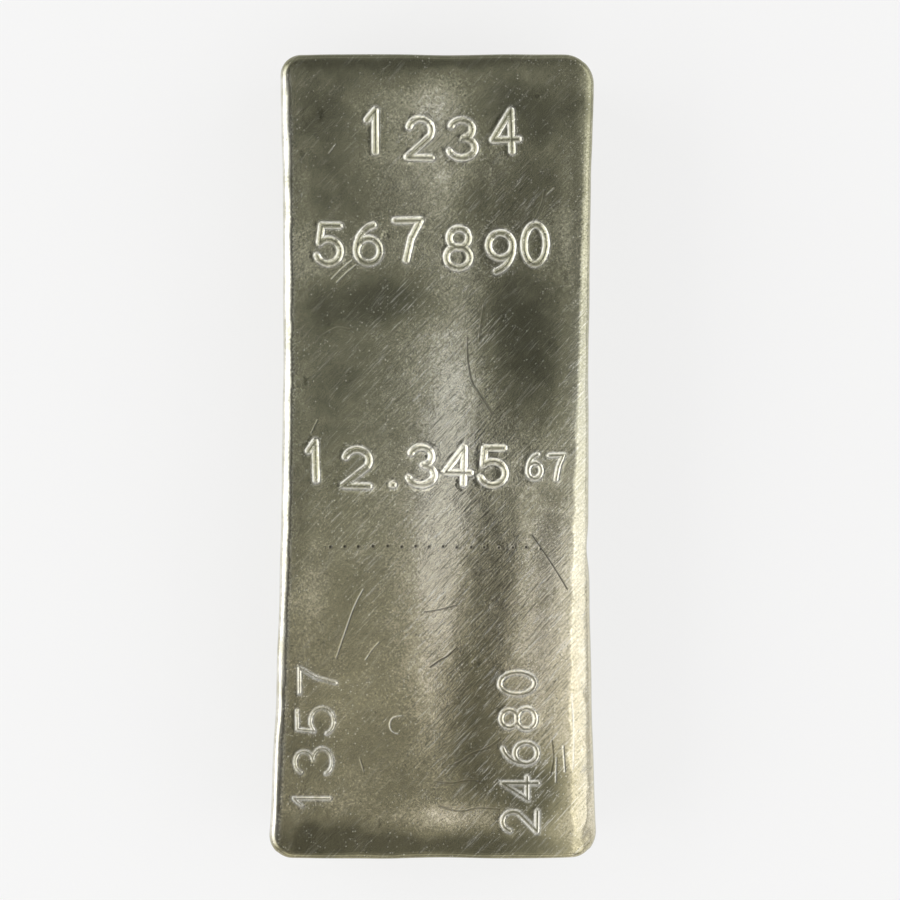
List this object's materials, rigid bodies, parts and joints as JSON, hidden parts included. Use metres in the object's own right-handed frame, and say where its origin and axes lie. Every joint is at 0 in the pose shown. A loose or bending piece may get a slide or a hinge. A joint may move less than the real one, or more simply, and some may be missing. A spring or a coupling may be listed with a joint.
{
  "type": "silver bar",
  "caption": "Cast silver bar: a long, low bullion ingot with leaning sides, rounded corners and a slightly dished face struck with plain numerals.",
  "frame": {"origin": "middle of the flat base that the bar rests on, at the centre of its bounding box seen from above", "axes": "+Z up from the base to the stamped, poured face; Y along the bar, with the head end (the end where the first row of numerals is) at +Y; +X to the right when the numerals are read with +Y up"},
  "size_m": [0.1134, 0.2774, 0.0477],
  "materials": {
    "silver": "satin"
  },
  "bodies": {
    "root": {"silver_bar": "silver"}
  },
  "joints": []
}
